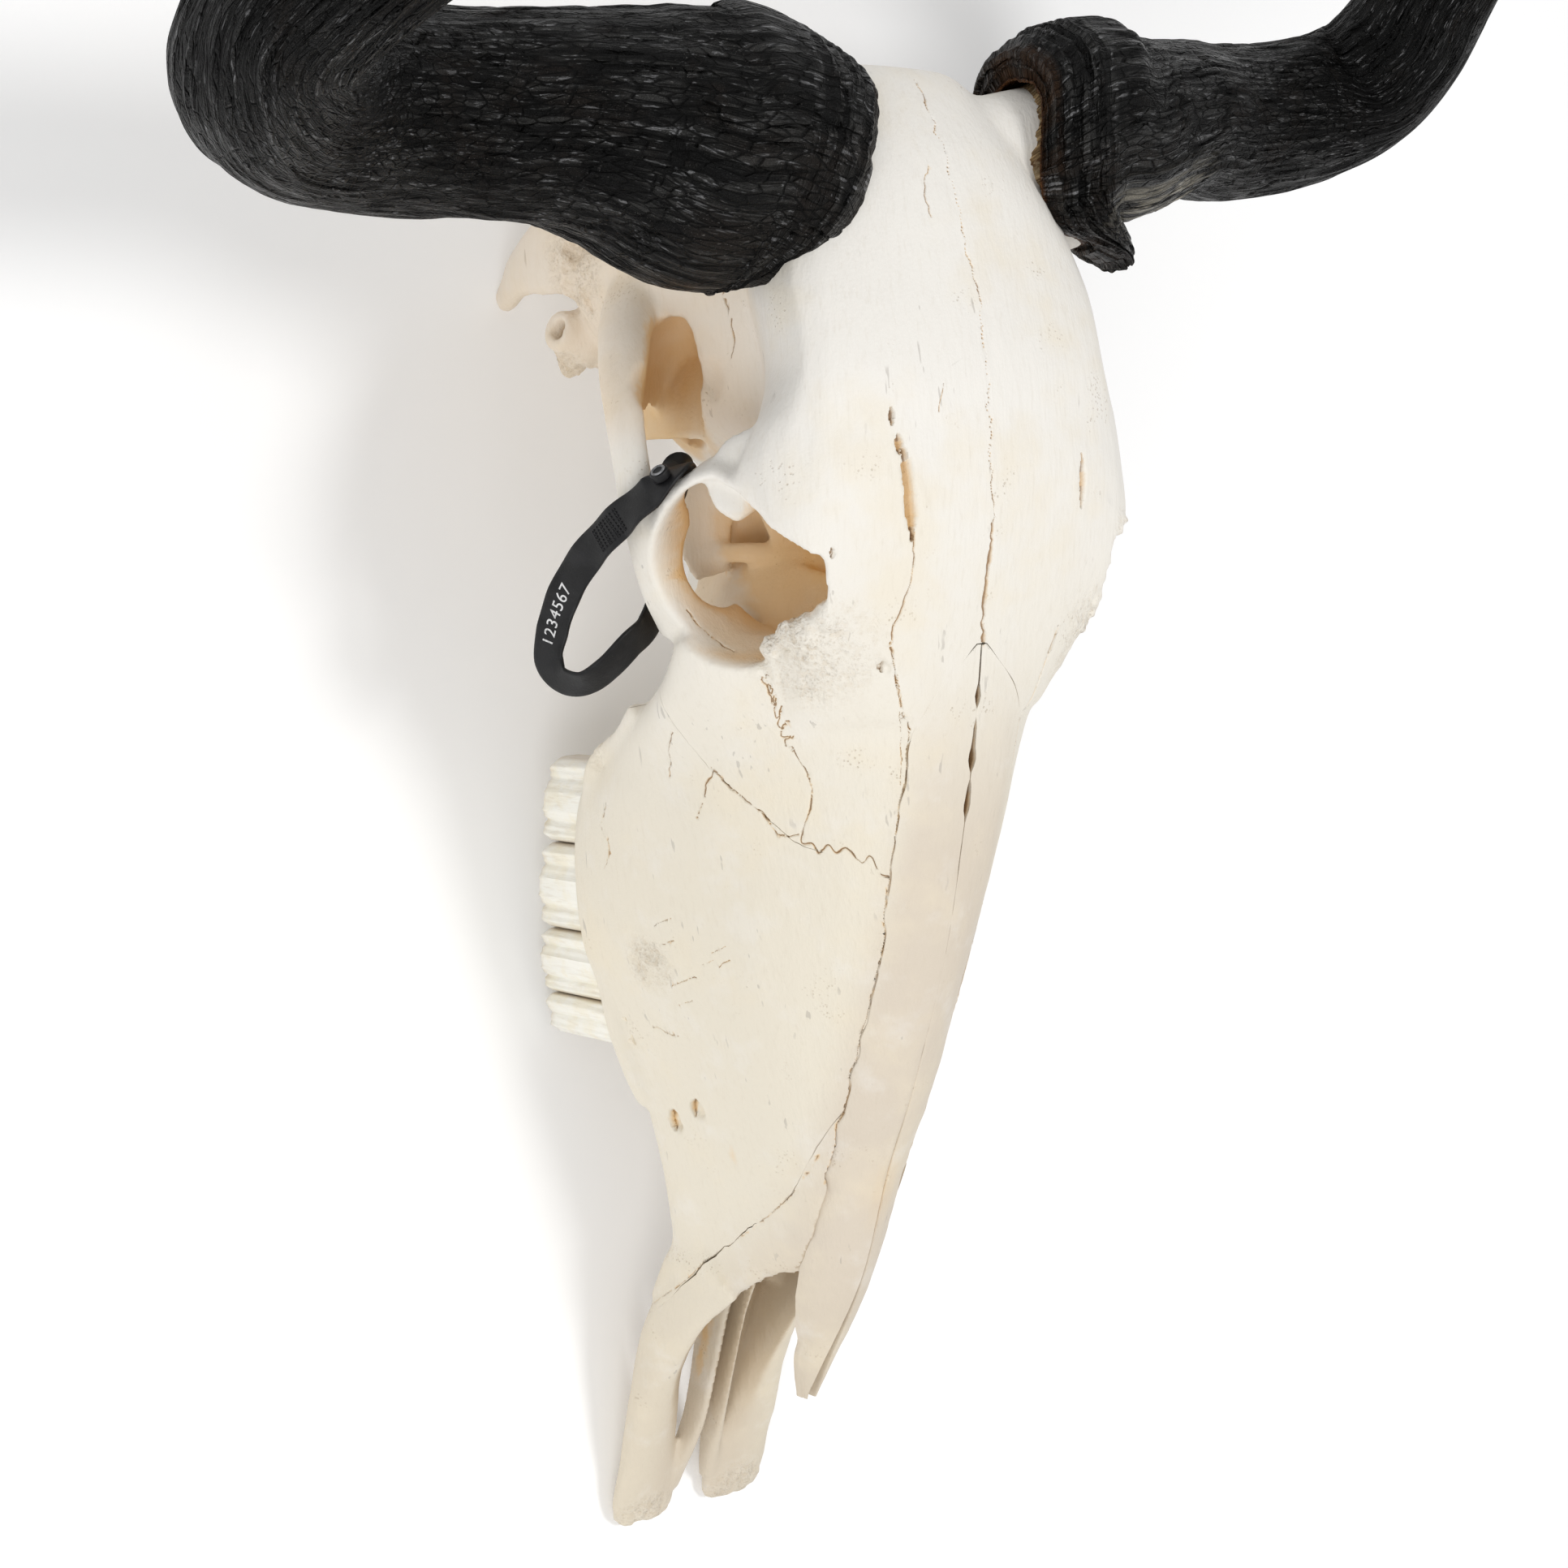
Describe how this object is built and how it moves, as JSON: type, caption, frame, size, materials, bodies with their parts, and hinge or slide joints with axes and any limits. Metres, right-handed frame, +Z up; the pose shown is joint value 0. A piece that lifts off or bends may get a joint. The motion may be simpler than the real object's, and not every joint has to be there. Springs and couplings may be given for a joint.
{
  "type": "wildebeest skull",
  "caption": "Skull of a wildebeest without its lower jaw, with black curved horn sheaths and a plastic tag strap looped round a cheek bone.",
  "frame": {"origin": "middle of the bounding box at floor level: the point under the middle of the skull on the plane it lies on", "axes": "+X towards the animal's left, -Y towards the tip of the nose, +Z up through the forehead"},
  "size_m": [0.4886, 0.602, 0.3183],
  "materials": {
    "bone": "dry bleached bone, matte, cream to off-white",
    "horn": "near-black keratin with lengthwise grain, low sheen",
    "strap_plastic": "black moulded plastic, low sheen"
  },
  "bodies": {
    "root": {"cranium": "bone", "upper_jaw": "bone", "nasal_left": "bone", "nasal_right": "bone", "premaxilla_left": "bone", "premaxilla_right": "bone", "horn_left": "horn", "horn_right": "horn", "tag_strap": "strap_plastic", "tag_lock": "strap_plastic"}
  },
  "joints": []
}
